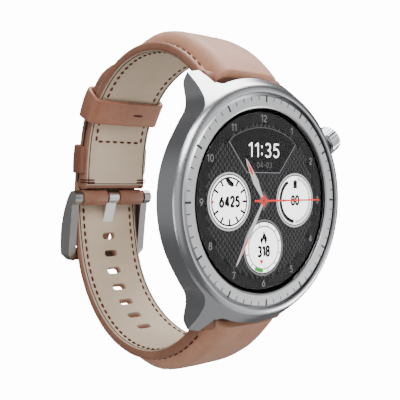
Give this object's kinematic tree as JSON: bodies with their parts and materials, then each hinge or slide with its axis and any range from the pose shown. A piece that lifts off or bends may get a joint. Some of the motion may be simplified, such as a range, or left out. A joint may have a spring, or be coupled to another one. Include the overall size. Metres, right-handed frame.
{
  "type": "smartwatch",
  "caption": "Round smartwatch with a steel case, fluted crown, lit dial and a padded brown leather strap, buckled shut.",
  "frame": {"origin": "centre of the wrist opening, on the axis of the wrist", "axes": "+X towards 3 o'clock and the crown's side, +Y from the dial towards the buckle, +Z towards 12 o'clock"},
  "size_m": [0.0498, 0.0638, 0.0775],
  "materials": {
    "case_metal": "satin",
    "ring_metal": "brushed",
    "polished_metal": "polished",
    "buckle_metal": "satin",
    "cover_crystal": "polished",
    "screen": "gloss",
    "black_plastic": "matte",
    "grey_plastic": "matte",
    "board": "satin",
    "cell_wrap": "satin",
    "seal_rubber": "matte",
    "gold_contact": "polished",
    "strap_leather": "satin",
    "strap_lining": "matte",
    "strap_padding": "matte"
  },
  "bodies": {
    "watch": {"mid_case": "case_metal", "bezel_ring": "ring_metal", "cover_glass": "cover_crystal", "glass_gasket": "seal_rubber", "display_module": "screen", "display_flex": "gold_contact", "inner_chassis": "black_plastic", "battery": "cell_wrap", "main_board": "board", "board_shields": "polished_metal", "vibration_motor": "polished_metal", "loudspeaker": "black_plastic", "microphone": "polished_metal", "antenna": "gold_contact", "back_cover": "grey_plastic", "back_seal": "seal_rubber", "sensor_window": "cover_crystal", "sensor_board": "board", "optical_barrier": "black_plastic", "sensor_emitters": "gold_contact", "charging_contacts": "gold_contact", "back_screws": "polished_metal", "crown_tube": "polished_metal", "crown_switch": "black_plastic", "upper_strap_leather": "strap_leather", "upper_strap_padding": "strap_padding", "upper_strap_lining": "strap_lining", "lower_strap_leather": "strap_leather", "lower_strap_padding": "strap_padding", "lower_strap_lining": "strap_lining", "fixed_keeper": "strap_leather", "buckle_bar": "buckle_metal", "upper_bar_tube": "polished_metal", "upper_bar_spring": "polished_metal", "lower_bar_tube": "polished_metal", "lower_bar_spring": "polished_metal"},
    "crown_push": {"crown_pusher": "black_plastic"},
    "crown_knob": {"crown": "polished_metal", "crown_cap": "case_metal", "crown_stem": "polished_metal", "crown_seals": "seal_rubber", "crown_clip": "polished_metal"},
    "upper_release_slider": {"upper_bar_slider": "polished_metal"},
    "lower_release_slider": {"lower_bar_slider": "polished_metal"},
    "free_keeper_loop": {"free_keeper": "strap_leather"},
    "buckle": {"buckle_frame": "buckle_metal"},
    "tongue": {"buckle_tongue": "buckle_metal"}
  },
  "joints": [
    {"name": "crown_press", "type": "slide", "parent": "watch", "child": "crown_push", "axis": [-0.866, 0, -0.5], "range_m": [0, 0.0004], "stiffness_N_per_m": 2500},
    {"name": "crown_turn", "type": "hinge", "parent": "crown_push", "child": "crown_knob", "pos_m": [0.02122, -0.0301, 0.01225], "axis": [0.866, 0, 0.5], "continuous": true},
    {"name": "upper_release", "type": "slide", "parent": "watch", "child": "upper_release_slider", "axis": [-1, 0, 0], "range_m": [0, 0.0015], "stiffness_N_per_m": 900},
    {"name": "lower_release", "type": "slide", "parent": "watch", "child": "lower_release_slider", "axis": [-1, 0, 0], "range_m": [0, 0.0015], "stiffness_N_per_m": 900},
    {"name": "free_keeper_slide", "type": "hinge", "parent": "watch", "child": "free_keeper_loop", "pos_m": [0, -0.00398, 0.00864], "axis": [1, 0, 0], "range_deg": [-8, 12]},
    {"name": "buckle_swing", "type": "hinge", "parent": "watch", "child": "buckle", "pos_m": [0, 0.0234, 0], "axis": [1, 0, 0], "range_deg": [0, 4]},
    {"name": "tongue_swing", "type": "hinge", "parent": "watch", "child": "tongue", "pos_m": [0, 0.0234, 0], "axis": [1, 0, 0], "range_deg": [0, 4]}
  ],
  "couplings": [
    {"joint": "tongue_swing", "follows": "buckle_swing", "ratio": 1}
  ]
}
